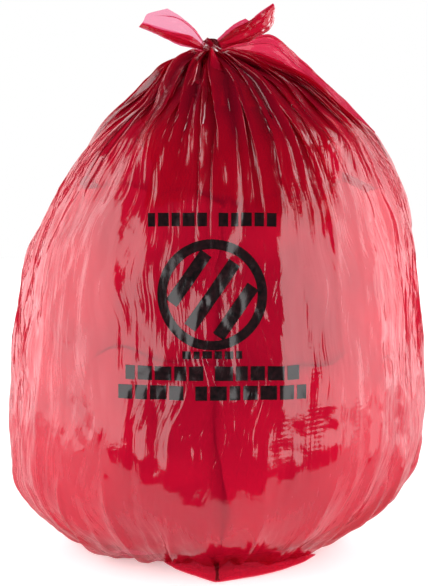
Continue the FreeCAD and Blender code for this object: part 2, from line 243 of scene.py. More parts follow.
def relax(net, shape, out, slack_round, most_in, rounds, push, stiffness):
    """Let a net of film settle round a filled shape."""
    rows = len(net)
    round_rest = length(np.roll(shape, -1, 1) - shape) * slack_round
    along_rest = length(shape[1:] - shape[:-1])
    slant_rest = {
        slant: length(np.roll(shape[1:], -slant, 1) - shape[:-1]) for slant in (1, -1)
    }
    round_two = round_rest + np.roll(round_rest, -1, 1)
    along_two = along_rest[:-1] + along_rest[1:]
    most_out = 0.35 * most_in
    spans = []
    for start in (0, 1):
        count = (rows - start) // 2 * 2
        spans.append((slice(start, start + count, 2), slice(start + 1, start + count, 2)))
    before = net.copy()
    for _ in range(rounds):
        speed = (net - before) * 0.9
        before = net.copy()
        net += speed
        around = np.roll(net, -1, 1) - np.roll(net, 1, 1)
        net += push * unit(np.cross(np.gradient(net, axis=0), around))
        move = pull(net[:, 0::2], net[:, 1::2], round_rest[:, 0::2], 1.0)
        net[:, 0::2] += move
        net[:, 1::2] -= move
        ahead = np.roll(net[:, 0::2], -1, 1)
        move = pull(net[:, 1::2], ahead, round_rest[:, 1::2], 1.0)
        net[:, 1::2] += move
        net[:, 0::2] -= np.roll(move, 1, 1)
        for upper, lower in spans:
            move = pull(net[upper], net[lower], along_rest[upper], 0.9)
            net[upper] += move
            net[lower] -= move
        for slant in (1, -1):
            for upper, lower in spans:
                ahead = np.roll(net[lower], -slant, 1)
                move = pull(net[upper], ahead, slant_rest[slant][upper], 0.35)
                net[upper] += move
                net[lower] -= np.roll(move, slant, 1)
        ahead = np.roll(net, -2, 1)
        span = ahead - net
        short = np.minimum(length(span) / round_two - 1, 0)
        move = (0.25 * stiffness * short)[..., None] * span
        net += move
        net -= np.roll(move, 2, 1)
        span = net[2:] - net[:-2]
        short = np.minimum(length(span) / along_two - 1, 0)
        move = (0.25 * stiffness * short)[..., None] * span
        net[:-2] += move
        net[2:] -= move
        moved = net - shape
        away = (moved * out).sum(-1)[..., None]
        net -= GRIP * (moved - away * out)
        fix = 0.5 * (np.maximum(away - most_out, 0) + np.minimum(away + most_in, 0))
        net -= (fix + BACKING * away) * out
        net[..., 2] = np.maximum(net[..., 2], 0)
        net[0], net[-1] = shape[0], shape[-1]
    return net


def crease_lines(angle, walked, lines):
    """Sum of sharp-crested creases; each is (angle, lean, start, end, height, half width)."""
    height = np.zeros((len(walked), len(angle)))
    for at, lean, start, end, tall, wide in lines:
        middle = 0.5 * (start + end)
        along = np.clip((walked - start) / (end - start), 0, 1)
        fade = np.sin(math.pi * along) ** 0.6
        off = (angle[None, :] - at - lean * (walked - middle)[:, None] + math.pi) % (2 * math.pi)
        off = np.abs(off - math.pi)
        height += tall * fade[:, None] * np.exp(-((off / wide) ** 1.3))
    return height


def random_lines(random, count, start, span, tall, wide, lean=0.0):
    """Crease lines spread round the bag; start, span, tall and wide are (least, most)."""
    step = 2 * math.pi / count
    lines = []
    for index in range(count):
        at = (index + random.uniform(-0.42, 0.42)) * step
        first = random.uniform(*start)
        lines.append((
            at,
            random.normal(0, lean),
            first,
            first + random.uniform(*span),
            random.uniform(*tall),
            random.uniform(*wide),
        ))
    return lines


def draped_shape(round_count, along_count):
    """The filled shape with the long folds that the film hangs in."""
    random = np.random.default_rng(11)
    shape, path = filled_shape(round_count, along_count)
    out, _, _ = directions(shape)
    angle = np.arange(round_count) / round_count * 2 * math.pi
    walked = np.linspace(0, path, along_count)
    reach = length(shape[..., :2] - (AXIS_X, 0)).mean(1)
    knot_end, seal_end = (-0.12, -0.05), (path - 0.25, path - 0.17)
    fan = random_lines(random, 40, knot_end, (0.22, 0.46), (0.2, 1.0), (0.016, 0.05), 0.12)
    fan += random_lines(random, 30, (0.02, 0.10), (0.08, 0.2), (0.2, 0.6), (0.02, 0.045), 0.4)
    height = np.minimum(0.12 * reach, 0.0036)[:, None] * crease_lines(angle, walked, fan)
    body = random_lines(random, 40, (0.10, 0.36), (0.12, 0.36), (-1.0, 1.0), (0.02, 0.1), 0.3)
    height += 0.0032 * crease_lines(angle, walked, body)
    short = random_lines(random, 110, (0.08, 0.52), (0.03, 0.11), (-0.6, 1.0), (0.008, 0.022), 1.6)
    height += 0.0010 * crease_lines(angle, walked, short)
    foot = random_lines(random, 44, seal_end, (0.16, 0.30), (0.3, 1.0), (0.02, 0.06), 0.5)
    height += np.minimum(0.13 * reach, 0.0045)[:, None] * crease_lines(angle, walked, foot)
    size = (round_count, along_count)
    height += 0.0030 * soft_noise(*size, 11, 7, random)
    height += 0.0008 * soft_noise(*size, 30, 18, random)
    height += 0.0004 * soft_noise(*size, 90, 20, random)
    ends = np.clip(np.minimum(walked / 0.02, (path - walked) / 0.05), 0, 1)[:, None]
    height -= height.mean(1, keepdims=True)
    shape = shape + (height * ends)[..., None] * out
    shape[..., 2] = np.maximum(shape[..., 2], 0)
    return shape, path


def pleated(net):
    """Lay the film that is left over near the knot into leaning pleats that overlap.

    Also gives, from 0 to 1, how deep in a pleat valley each point is: the mask for painted shade in the
    valleys.
    """
    random = np.random.default_rng(17)
    rows, columns = net.shape[:2]
    out, around, _ = directions(resample(resample(net, 40, 32), columns, rows))
    reach = length(net[..., :2] - (AXIS_X, 0)).mean(1)
    girth = length(np.roll(net, -1, 1) - net).sum(1)
    walked = np.concatenate([[0], np.cumsum(length(np.diff(net, axis=0)).mean(1))])
    edges = np.cumsum(random.uniform(0.6, 1.5, PLEATS))
    edges = edges / edges[-1] * 2 * math.pi
    widths = np.diff(np.concatenate([[0], edges]))
    angle = np.arange(columns) / columns * 2 * math.pi
    which = np.minimum(np.searchsorted(edges, angle, side="right"), PLEATS - 1)
    phase = 1 - (edges[which] - angle) / widths[which]
    peak = random.uniform(0.35, 0.65, PLEATS)[which]
    ramp = np.where(phase < peak, phase / peak, (1 - phase) / (1 - peak))
    wave = np.sin(math.pi * (ramp - 0.5))
    wave = np.sign(wave) * np.abs(wave) ** 0.8
    film = FILM_ROUND * widths[which] / (2 * math.pi)
    chord = girth[:, None] * widths[which] / (2 * math.pi)
    tall = 0.25 * np.sqrt(np.maximum(film**2 - chord**2, 0))
    ends = random.uniform(*PLEAT_ENDS, PLEATS)[which]
    fade = np.clip((ends - walked[:, None]) / (0.6 * ends), 0, 1)
    fade = fade * fade * (3 - 2 * fade)
    tall = np.minimum(tall, 0.36 * reach[:, None]) * fade
    start = np.clip(walked / 0.012, 0, 1)[:, None]
    tall = tall * (random.uniform(0.8, 1.45, PLEATS)[which]) * start
    side = np.where(random.random(PLEATS) < 0.5, -1.0, 1.0)[which]
    lean = side * np.radians(30 + 42 * np.clip((reach[:, None] - 0.015) / 0.05, 0, 1))
    move = tall * wave
    # painted shade mask: near 1 deep in the pleat valleys, where shade falls, 0 on the crests
    pleat_valley_shade = fade * np.clip(0.5 - 0.5 * wave, 0, 1) ** 1.5
    out, around = (move * np.cos(lean))[..., None] * out, (move * np.sin(lean))[..., None] * around
    return net + out + around, pleat_valley_shade


def relaxed_film():
    """The film after relaxing, from a coarse net to a fine one, and the mask for painted shade in its
    pleat valleys.
    """
    random = np.random.default_rng(3)
    offset = None
    for round_count, along_count, rounds, push, stiffness in NETS:
        shape, path = draped_shape(round_count, along_count)
        out, around, along = directions(shape)
        size = (round_count, along_count)
        from_knot = np.linspace(0, path, along_count)
        patchy = 0.5 + 0.5 * np.tanh(1.5 * soft_noise(*size, 9, 6, random))
        slack = 1 + SLACK_ROUND * patchy
        if offset is None:
            net = shape + 0.0015 * random.standard_normal(size[::-1])[..., None] * out
        else:
            here = resample(offset, round_count, along_count)
            here[..., 0] += 0.00006 * random.standard_normal(size[::-1])
            net = shape + sum(here[..., k : k + 1] * (out, around, along)[k] for k in range(3))
        most_in = (0.006 + 0.004 * np.exp(-((from_knot / 0.16) ** 2)))[:, None, None]
        net = relax(net, shape, out, slack, most_in, rounds, push, stiffness)
        moved = net - shape
        offset = np.stack([(moved * axis).sum(-1) for axis in (out, around, along)], -1)
    net, pleat_valley_shade = pleated(net)
    net = wrinkled(net)
    net[..., 2] = np.maximum(net[..., 2], 0)
    return net, pleat_valley_shade


# Where the film that is folded back inside the neck ends: (degrees from the front, height)
INNER_EDGE = np.array([
    (-180, 0.441), (-100, 0.441), (-62, 0.420), (-50, 0.402), (-36, 0.384), (-25, 0.327),
    (-17, 0.332), (-10, 0.340), (-5, 0.346), (1, 0.339), (8, 0.333), (17, 0.322), (27, 0.311),
    (36, 0.330), (41, 0.372), (56, 0.425), (90, 0.441), (180, 0.441),
])


def wrinkled(net):
    """Creases that the nets can't hold: scattered, long, broad, at the foot, and a mottle."""
    random = np.random.default_rng(29)
    rows, columns = net.shape[:2]
    out, _, _ = directions(resample(resample(net, 80, 48), columns, rows))
    angle = np.arange(columns) / columns * 2 * math.pi
    walked = np.concatenate([[0], np.cumsum(length(np.diff(net, axis=0)).mean(1))])
    path = walked[-1]
    reach = length(net[..., :2] - (AXIS_X, 0)).mean(1)
    short = random_lines(random, 170, (0.10, 0.50), (0.03, 0.10), (-0.6, 1), (0.007, 0.018), 1.8)
    long = random_lines(random, 30, (0.14, 0.40), (0.15, 0.32), (-1, 1), (0.010, 0.030), 0.3)
    foot_start, foot_span = (path - 0.25, path - 0.13), (0.12, 0.26)
    foot = random_lines(random, 46, foot_start, foot_span, (0.4, 1.0), (0.014, 0.036), 0.6)
    broad = random_lines(random, 26, (0.12, 0.42), (0.14, 0.34), (-1, 1), (0.045, 0.12), 0.5)
    height = 0.0013 * crease_lines(angle, walked, short)
    height += 0.0024 * crease_lines(angle, walked, long)
    height += 0.0034 * crease_lines(angle, walked, broad)
    height += np.minimum(0.11 * reach, 0.0072)[:, None] * crease_lines(angle, walked, foot)
    height += 0.0007 * soft_noise(columns, rows, 52, 24, random)
    height -= 0.0005 * np.abs(soft_noise(columns, rows, 116, 42, random))
    ends = np.clip(np.minimum(walked / 0.04, (path - walked) / 0.05), 0, 1)[:, None]
    return net + ((height - height.mean(1, keepdims=True)) * ends)[..., None] * out


def inner_fold(net):
    """A second layer close inside the film, from the throat to a stepped edge."""
    random = np.random.default_rng(23)
    rows, columns = net.shape[:2]
    out, _, _ = directions(resample(resample(net, 40, 32), columns, rows))
    degrees = (np.arange(columns) / columns * 360 + 180) % 360 - 180
    order = degrees + 2.5 * np.interp(degrees, np.linspace(-180, 180, 60), random.uniform(-1, 1, 60))
    steps = np.searchsorted(INNER_EDGE[:, 0], np.clip(order, -179, 179)) - 1
    exact = np.interp(degrees, *INNER_EDGE.T)
    edge = 0.65 * INNER_EDGE[steps, 1] + 0.35 * exact
    edge = edge + 0.0025 * np.interp(degrees, np.linspace(-180, 180, 90), random.uniform(-1, 1, 90))
    count = 110
    sheet = np.empty((count, columns, 3))
    gap = 0.0016 + 0.0024 * np.linspace(0, 1, count) ** 0.5
    for column in range(columns):
        height = np.maximum.accumulate(-net[:, column, 2])
        last = np.interp(-edge[column], height, np.arange(rows))
        at = np.linspace(1, max(last, 2), count)
        line = [np.interp(at, np.arange(rows), net[:, column, k]) for k in range(3)]
        away = [np.interp(at, np.arange(rows), out[:, column, k]) for k in range(3)]
        sheet[:, column] = np.stack(line, -1) - gap[:, None] * np.stack(away, -1)
    return sheet


# ---------------------------------------- materials
def new_material(name):
    """An empty node material and a function that adds nodes to it."""
    material = bpy.data.materials.new(name)
    material.use_nodes = True
    tree = material.node_tree
    tree.nodes.clear()

    def add(kind, **inputs):
        node = tree.nodes.new(kind)
        for key, value in inputs.items():
            key = key.replace("_", " ")
            if isinstance(value, bpy.types.NodeSocket):
                tree.links.new(value, node.inputs[key])
            else:
                node.inputs[key].default_value = value
        return node

    return material, tree, add


def show(tree, shader):
    """Join a shader to the material's output."""
    out = tree.nodes.new("ShaderNodeOutputMaterial")
    tree.links.new(shader.outputs[0], out.inputs[0])


def two_tone(tree, share, *stops):
    """A colour between two stops, each (position, colour)."""
    node = tree.nodes.new("ShaderNodeValToRGB")
    for element, (position, colour) in zip(node.color_ramp.elements, stops):
        element.position = position
        element.color = colour
    tree.links.new(share, node.inputs[0])
    return node.outputs[0]


def film_material(name, tint=(0.85, 0.09, 0.21, 1), pigment=(0.56, 0.003, 0.038, 1), haze=0.3,
                  body=False, gloss=0.10, crinkle=1.0, ior=1.58):
    """Thin glossy film: light passes, tinted; pigment scatters some; a sharp gloss on top.

    body is for the bag's own film, whose UV map is in metres of flat film.
    """
    material, tree, add = new_material(name)

    def link(source, socket):
        tree.links.new(source, socket)

    def maths(operation, *values):
        node = tree.nodes.new("ShaderNodeMath")
        node.operation = operation
        for socket, value in zip(node.inputs, values):
            if isinstance(value, bpy.types.NodeSocket):
                link(value, socket)
            else:
                socket.default_value = value
        return node.outputs[0]

    def noise_at(vector, scale, detail):
        node = add("ShaderNodeTexNoise", Vector=vector, Scale=scale, Detail=detail)
        node.noise_dimensions = "2D" if body else "3D"
        return node

    def stepped(value, low, high, smooth=False):
        node = add("ShaderNodeMapRange", Value=value)
        node.interpolation_type = "SMOOTHSTEP" if smooth else "LINEAR"
        node.inputs["From Min"].default_value = low
        node.inputs["From Max"].default_value = high
        return node.outputs[0]

    # painted shade: mixes a colour towards a darker copy of itself by the given share
    def with_painted_shade(share, colour):
        node = tree.nodes.new("ShaderNodeMixRGB")
        link(share, node.inputs[0])
        node.inputs[1].default_value = colour
        node.inputs[2].default_value = [PAINTED_VALLEY_SHADE * value for value in colour[:3]] + [1]
        return node.outputs[0]

    place = add("ShaderNodeTexCoord")
    where = place.outputs["UV" if body else "Object"]
    wander = noise_at(where, 9.0, 1.0)
    bent = tree.nodes.new("ShaderNodeVectorMath")
    bent.operation = "MULTIPLY_ADD"
    link(wander.outputs["Color"], bent.inputs[0])
    bent.inputs[1].default_value = (0.05, 0.05, 0.05)
    link(where, bent.inputs[2])
    stretch = (1.0, 0.4, 1.0) if body else (1.0, 1.0, 0.5)
    long = add("ShaderNodeMapping", Vector=bent.outputs[0], Scale=stretch)
    facets = add("ShaderNodeTexVoronoi", Vector=long.outputs[0], Scale=46.0)
    facets.voronoi_dimensions = "2D" if body else "3D"
    facets.feature = "DISTANCE_TO_EDGE"
    patchy = noise_at(where, 11.0, 2.0).outputs["Fac"]
    fine = noise_at(where, 170.0, 3.0).outputs["Fac"]
    height = maths("MULTIPLY", facets.outputs["Distance"], stepped(patchy, 0.40, 0.66))
    height = maths("MULTIPLY_ADD", fine, 0.12, height)
    if body:
        drawn = add("ShaderNodeMapping", Vector=bent.outputs[0], Scale=(1.0, 0.07, 1.0))
        lines = noise_at(drawn.outputs[0], 75.0, 3.0).outputs["Fac"]
        ridges = maths("ABSOLUTE", maths("SUBTRACT", lines, 0.5))
        height = maths("MULTIPLY_ADD", ridges, -1.3, height)
        parts = tree.nodes.new("ShaderNodeSeparateXYZ")
        link(place.outputs["UV"], parts.inputs[0])
        across, down = parts.outputs[0], parts.outputs[1]
        slant = maths("MULTIPLY_ADD", across, 0.15, maths("MULTIPLY_ADD", patchy, 0.01, down))
        ripple = maths("SINE", maths("MULTIPLY", slant, 2 * math.pi / RIPPLE_PITCH))
        foot = stepped(down, 0.46, 0.58, True)
        height = maths("MULTIPLY_ADD", maths("MULTIPLY", facets.outputs["Distance"], foot), 1.0, height)
        mask = 0.0
        for start, end in RIPPLE_COLUMNS:
            middle, half = (start + end) / 2, (end - start) / 2
            off = maths("ABSOLUTE", maths("SUBTRACT", across, middle))
            mask = maths("ADD", stepped(off, half, 0.6 * half, True), mask)
        level = maths("ABSOLUTE", maths("SUBTRACT", down, RIPPLE_MIDDLE))
        mask = maths("MULTIPLY", mask, stepped(level, RIPPLE_HALF, 0.7 * RIPPLE_HALF, True))
        mask = maths("MULTIPLY", mask, stepped(patchy, 0.20, 0.50))
        height = maths("MULTIPLY_ADD", maths("MULTIPLY", ripple, mask), 0.022, height)
    bump = add("ShaderNodeBump", Height=height, Strength=0.6, Distance=0.0022 * crinkle)
    most = GLOSS_MOST
    if body:
        # painted shade: tint and pigment are darkened in the pleat valleys
        valley_shade_node = tree.nodes.new("ShaderNodeAttribute")
        valley_shade_node.attribute_name = "pleat_valley_shade"
        tint = with_painted_shade(valley_shade_node.outputs["Fac"], tint)
        pigment = with_painted_shade(valley_shade_node.outputs["Fac"], pigment)
        crushed = stepped(down, 0.30, 0.06)
        gloss = maths("MULTIPLY_ADD", crushed, 0.10, gloss)
        most = maths("MULTIPLY_ADD", crushed, NECK_GLOSS_MOST - GLOSS_MOST, most)
    clear = add("ShaderNodeBsdfTransparent", Color=tint)
    front = add("ShaderNodeBsdfDiffuse", Color=pigment, Normal=bump.outputs[0])
    back = add("ShaderNodeBsdfTranslucent", Color=pigment, Normal=bump.outputs[0])
    cloudy = tree.nodes.new("ShaderNodeMixShader")
    cloudy.inputs[0].default_value = 0.45
    link(front.outputs[0], cloudy.inputs[1])
    link(back.outputs[0], cloudy.inputs[2])
    mixed = tree.nodes.new("ShaderNodeMixShader")
    mixed.inputs[0].default_value = haze
    link(clear.outputs[0], mixed.inputs[1])
    link(cloudy.outputs[0], mixed.inputs[2])
    shine = add("ShaderNodeBsdfGlossy", Roughness=gloss, Normal=bump.outputs[0])
    edge = add("ShaderNodeFresnel", IOR=ior, Normal=bump.outputs[0])
    skin = tree.nodes.new("ShaderNodeMixShader")
    link(maths("MINIMUM", edge.outputs[0], most), skin.inputs[0])
    link(mixed.outputs[0], skin.inputs[1])
    link(shine.outputs[0], skin.inputs[2])
    show(tree, skin)
    return material


def ink_material():
    """Black ink: thin, faintly mottled, and nearly as glossy as the film it lies on."""
    material, tree, add = new_material("print_ink")
    place = add("ShaderNodeTexCoord")
    where = place.outputs["Object"]
    mottle = add("ShaderNodeTexNoise", Vector=where, Scale=260.0, Detail=4.0)
    black, brown = (0.003, 0.003, 0.0035, 1), (0.022, 0.006, 0.008, 1)
    colour = two_tone(tree, mottle.outputs["Fac"], (0.3, black), (0.78, brown))
    rough = add("ShaderNodeMapRange", Value=mottle.outputs["Fac"])
    rough.inputs["To Min"].default_value = 0.12
    rough.inputs["To Max"].default_value = 0.28
    crinkle = add("ShaderNodeTexNoise", Vector=where, Scale=70.0, Detail=4.0)
    bump = add("ShaderNodeBump", Height=crinkle.outputs["Fac"], Strength=0.4, Distance=0.0012)
    shader = add(
        "ShaderNodeBsdfPrincipled",
        Base_Color=colour,
        Roughness=rough.outputs[0],
        Normal=bump.outputs[0],
    )
    shader.inputs["Specular IOR Level"].default_value = 0.45
    show(tree, shader)
    return material


def waste_material():
    """Soft pale waste: crushed paper and gloves, off-white with faint grey-blue patches."""
    material, tree, add = new_material("soft_waste")
    place = add("ShaderNodeTexCoord")
    where = place.outputs["Object"]
    patch = add("ShaderNodeTexNoise", Vector=where, Scale=14.0, Detail=5.0, Distortion=0.8)
    grey, cream = (0.62, 0.60, 0.62, 1), (0.90, 0.86, 0.83, 1)
    colour = two_tone(tree, patch.outputs["Fac"], (0.32, grey), (0.60, cream))
    creases = add("ShaderNodeTexVoronoi", Vector=where, Scale=55.0)
    creases.feature = "DISTANCE_TO_EDGE"
    fibres = add("ShaderNodeTexNoise", Vector=where, Scale=240.0, Detail=3.0)
    height = tree.nodes.new("ShaderNodeMath")
    height.operation = "MULTIPLY_ADD"
    tree.links.new(fibres.outputs["Fac"], height.inputs[0])
    height.inputs[1].default_value = 0.2
    tree.links.new(creases.outputs["Distance"], height.inputs[2])
    bump = add("ShaderNodeBump", Height=height.outputs[0], Strength=0.6, Distance=0.003)
    rough = add("ShaderNodeMapRange", Value=patch.outputs["Fac"])
    rough.inputs["To Min"].default_value = 0.75
    rough.inputs["To Max"].default_value = 0.92
    shader = add(
        "ShaderNodeBsdfPrincipled",
        Base_Color=colour,
        Roughness=rough.outputs[0],
        Normal=bump.outputs[0],
    )
    show(tree, shader)
    return material


# ---------------------------------------- loose film: ears, fold and tail
def rail_sheet(name, rails, rows, columns, pleats, crumple, seed):
    """A sheet of film through rails that run from its gathered root to its free end.

    Each rail is a list of points; pleats is (count, height) and crumple a height, in metres.
    """
    random = np.random.default_rng(seed)
    along = np.linspace(0, 1, rows)
    lines = []
    for rail in rails:
        rail = np.array(rail, float)
        lines.append(smooth_curve(rail, along * (len(rail) - 1)))
    lines = np.stack(lines, 1)
    across = np.linspace(0, len(rails) - 1, columns)
    grid = np.stack([smooth_curve(row, across) for row in lines])
    out = unit(np.cross(np.gradient(grid, axis=0), np.gradient(grid, axis=1)))
    share = np.linspace(0, 1, columns)
    count, tall = pleats
    wander = 0.35 * random.standard_normal(count)
    lanes = (np.arange(count) + 0.5 + wander) / count
    wave = np.zeros((rows, columns))
    for lane in lanes:
        drift = lane + 0.06 * random.standard_normal() * along[:, None]
        wide = random.uniform(0.12, 0.26) / count
        reach = random.uniform(0.55, 1.1)
        fade = np.clip(1.15 - along / reach, 0, 1)[:, None] ** 0.7
        wave += random.uniform(0.4, 1.0) * fade * np.exp(-np.abs(share - drift) / wide)
    grow = np.sin(math.pi * np.clip(along * 0.88 + 0.08, 0, 1))[:, None]
    aside = unit(np.gradient(grid, axis=1))
    move = tall * grow * (wave - wave.mean(1, keepdims=True))
    grid = grid + (0.45 * move)[..., None] * out + (0.9 * move)[..., None] * aside
    for size, height in ((6, 1.0), (13, 0.5), (27, 0.16)):
        rough = soft_noise(columns, rows, size, size, random)
        grid = grid + (crumple * height * grow * rough)[..., None] * out
    return grid_mesh(name, grid)


# Rails in millimetres, root first: (x, y, z)
LEFT_EAR = (
    ((-11, -3, 461), (-23, -5, 471), (-46, -6, 478), (-66, -4, 484)),
    ((-11, -4, 460), (-24, -7, 467), (-47, -7, 475), (-68, -5, 482)),
    ((-11, -2, 459), (-33, -2, 463.5), (-50, -2, 471.5), (-70, -1, 479.5)),
    ((-11, 2, 461), (-27, 5, 471), (-46, 6, 480), (-66, 3, 485)),
    ((-11, 3, 464), (-22, 5, 478), (-40, 6, 489), (-63, 4, 491)),
    ((-10, 1, 466), (-17.5, 1, 477), (-29, 2, 487.5), (-44, 2, 496.5)),
)
LEFT_ROLL = (
    ((-11, -4, 463), (-23, -7, 472), (-40, -8, 475), (-58, -6, 480.5), (-66, -4, 483)),
    ((-11, -6, 461), (-25, -10, 468), (-42, -10.5, 473), (-58, -8, 479), (-67, -5, 482)),
    ((-11, -5, 459), (-29, -8, 463.5), (-45, -8.5, 470), (-60, -6, 476.5), (-69.5, -3, 480)),
    ((-11, -3, 461), (-26, -5, 467), (-43, -6, 473), (-59, -4, 479), (-68, -3, 482)),
)
RIGHT_EAR_FRONT = (
    ((1, -1, 466), (16, -1, 478), (30, -1, 485), (41, -1, 493.5), (52, -1, 501)),
    ((2, -5, 465), (19, -6, 474), (34, -6, 482), (45, -5, 490), (53, -2, 500)),
    ((3, -4, 462), (21, -6, 468), (38, -6, 476), (49, -4, 484), (53.5, -2, 498)),
    ((3, 0, 460), (22, -1, 464.5), (40, -1, 471.5), (52.5, -1, 483), (54, 0, 497)),
    ((3, 3, 463), (20, 4, 471), (35, 4, 479), (46, 3, 488), (53, 1, 498)),
    ((2, 2, 467), (15, 3, 477), (29, 3, 485), (41, 2, 492), (52, 0, 500.5)),
)
RIGHT_EAR_BACK = (
    ((0, 1, 467), (10, 3, 477), (18, 4, 483), (27, 3, 487.5)),
    ((2, 3, 466), (14, 5, 475), (24, 5, 481), (31, 4, 485)),
    ((3, 4, 464), (17, 5, 471), (29, 5, 476), (39, 4, 480)),
)
KNOT_LOBE = (
    ((-9, -3, 459), (-16, -5, 460), (-22, -5, 458), (-24, -4, 454)),
    ((-9, -4, 458), (-15, -7, 457), (-20, -7, 455), (-22, -6, 452)),
    ((-8, -3, 456), (-13, -5, 454), (-17, -6, 452), (-20, -5, 450)),
)
SHOULDER_FOLD = (
    ((3, 8, 455), (42, 15, 447), (76, 20, 431), (110, 20, 402), (140, 12, 374)),
    ((4, 9, 458), (45, 16, 461), (78, 20, 440), (114, 20, 408), (144, 12, 379)),
    ((4, 11, 460), (47, 20, 473), (80, 24, 449), (119, 24, 414), (148, 14, 384)),
    ((3, 13, 456), (43, 32, 452), (72, 42, 432), (106, 46, 400), (138, 34, 370)),
)
SEAL_TAIL = (
    ((-52, -62, 1.4), (-42, -88, 1.8), (-25, -113, 1.8), (-2, -136, 1.0)),
    ((-26, -58, 3.4), (-21, -84, 4.2), (-12, -108, 3.2), (-1, -137, 1.2)),
    ((0, -56, 3.0), (0, -82, 3.6), (0.5, -108, 3.0), (0.5, -138, 1.6)),
    ((42, -57, 4.4), (32, -86, 4.6), (17, -112, 3.4), (2, -137, 1.4)),
    ((92, -60, 3.0), (74, -90, 3.0), (36, -122, 2.2), (4, -136, 1.0)),
)
SEAL_SEAM = (
    ((-2, -92, 6.0), (-1, -108, 5.0), (0, -124, 4.2), (-1, -141, 2.4)),
    ((0, -93, 8.4), (1.4, -109, 7.0), (1.6, -125, 6.2), (1, -142, 3.6)),
    ((2, -92, 6.0), (3, -108, 5.0), (2.6, -124, 4.2), (3.4, -141, 2.2)),
)
MM = 0.001


def metres(rails):
    """Rails in metres."""
    return [[tuple(MM * value for value in point) for point in rail] for rail in rails]


def make_ears(thin, dark):
    """The two tied ends of the film, each a sheet that runs out from the knot."""
    left = rail_sheet("ear_left_film", metres(LEFT_EAR), 60, 220, (13, 0.0036), 0.0005, 5)
    dress(left, thin)
    right = rail_sheet("ear_right_film", metres(RIGHT_EAR_FRONT), 70, 220, (15, 0.0030), 0.0007, 8)
    behind = rail_sheet("ear_right_fold", metres(RIGHT_EAR_BACK), 44, 44, (6, 0.0012), 0.0006, 9)
    roll = rail_sheet("ear_left_roll", metres(LEFT_ROLL), 56, 60, (6, 0.0014), 0.0005, 6)
    for piece in (right, behind, roll):
        dress(piece, dark)
    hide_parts("ear_left")
    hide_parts("ear_right")
    for piece in (left, roll):
        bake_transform(piece)
    for piece in (right, behind):
        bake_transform(piece)


def make_knot(tight, loose):
    """Film pulled tight into a knot: a pleated core, one wrap round it, and a small lobe."""
    around, rows = 96, 40
    angle = np.arange(around) / around * 2 * math.pi
    lift = np.linspace(-1, 1, rows)[:, None] * math.pi / 2 * 0.98
    groove = 1.04 - 0.20 * np.abs(np.sin(4.5 * angle + 1.1 * lift)) ** 0.6
    groove -= 0.10 * np.abs(np.sin(8.5 * angle - 0.7 * lift + 1)) ** 0.7
    reach = CORE_REACH * np.cos(lift) ** 0.7 * groove
    core = np.stack([
        AXIS_X + reach * np.sin(angle),
        -reach * np.cos(angle),
        KNOT_Z + CORE_HALF * np.sin(lift) + 0 * angle,
    ], -1)
    pieces = [grid_mesh("knot_core", core[::-1].copy(), closed=True)]
    turn = np.arange(120) / 120 * 2 * math.pi
    side = np.arange(24) / 24 * 2 * math.pi
    tilt = Matrix.Rotation(math.radians(38), 3, "Y")
    wrap = np.zeros((len(side), len(turn), 3))
    for row, s in enumerate(side):
        band = 1 + 0.22 * math.cos(5 * s) + 0.12 * np.cos(3 * turn + 2 * s)
        ring = WRAP_REACH + 0.0015 * band * math.cos(s)
        rise = 0.0042 * band * math.sin(s)
        wrap[row] = np.stack([ring * np.sin(turn), -ring * np.cos(turn), rise + 0 * turn], -1)
    wrap = wrap @ np.array(tilt).T + (AXIS_X, 0, KNOT_Z)
    wrap = np.concatenate([wrap, wrap[:1]])
    pieces.append(grid_mesh("knot_wrap", wrap, closed=True))
    pieces.append(rail_sheet("knot_lobe", metres(KNOT_LOBE), 24, 24, (4, 0.0008), 0.0004, 4))
    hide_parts("knot")
    for piece, finish in zip(pieces, (tight, loose, loose)):
        dress(piece, finish)
        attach(piece, "knot")


def make_shoulder_fold(material):
    """The slack fold that stands up between the knot and the right shoulder."""
    fold = rail_sheet("shoulder_fold", metres(SHOULDER_FOLD), 90, 220, (10, 0.0050), 0.0009, 21)
    dress(fold, material)
    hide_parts("shoulder_flap")
    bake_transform(fold)


def make_seal_tail(material, dark):
    """The heat-sealed end of the bag: two layers on the floor, pleated towards its nib."""
    for name, lift in (("seal_tail_top", 0.0), ("seal_tail_under", -0.0009)):
        rails = [[(x, y, z + lift) for x, y, z in rail] for rail in metres(SEAL_TAIL)]
        tail = rail_sheet(name, rails, 60, 90, (10, 0.0012), 0.0004, 31)
        points = np.empty(len(tail.data.vertices) * 3)
        tail.data.vertices.foreach_get("co", points)
        points = points.reshape(-1, 3)
        points[:, 2] = np.maximum(points[:, 2], 0.0002 - 0.1 * lift)
        tail.data.vertices.foreach_set("co", points.reshape(-1))
        dress(tail, material)
        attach(tail, "bag")
    seam = rail_sheet("seal_tail_seam", metres(SEAL_SEAM), 40, 30, (3, 0.0008), 0.0006, 33)
    dress(seam, dark)
    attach(seam, "bag")
    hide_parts("seal_tail")


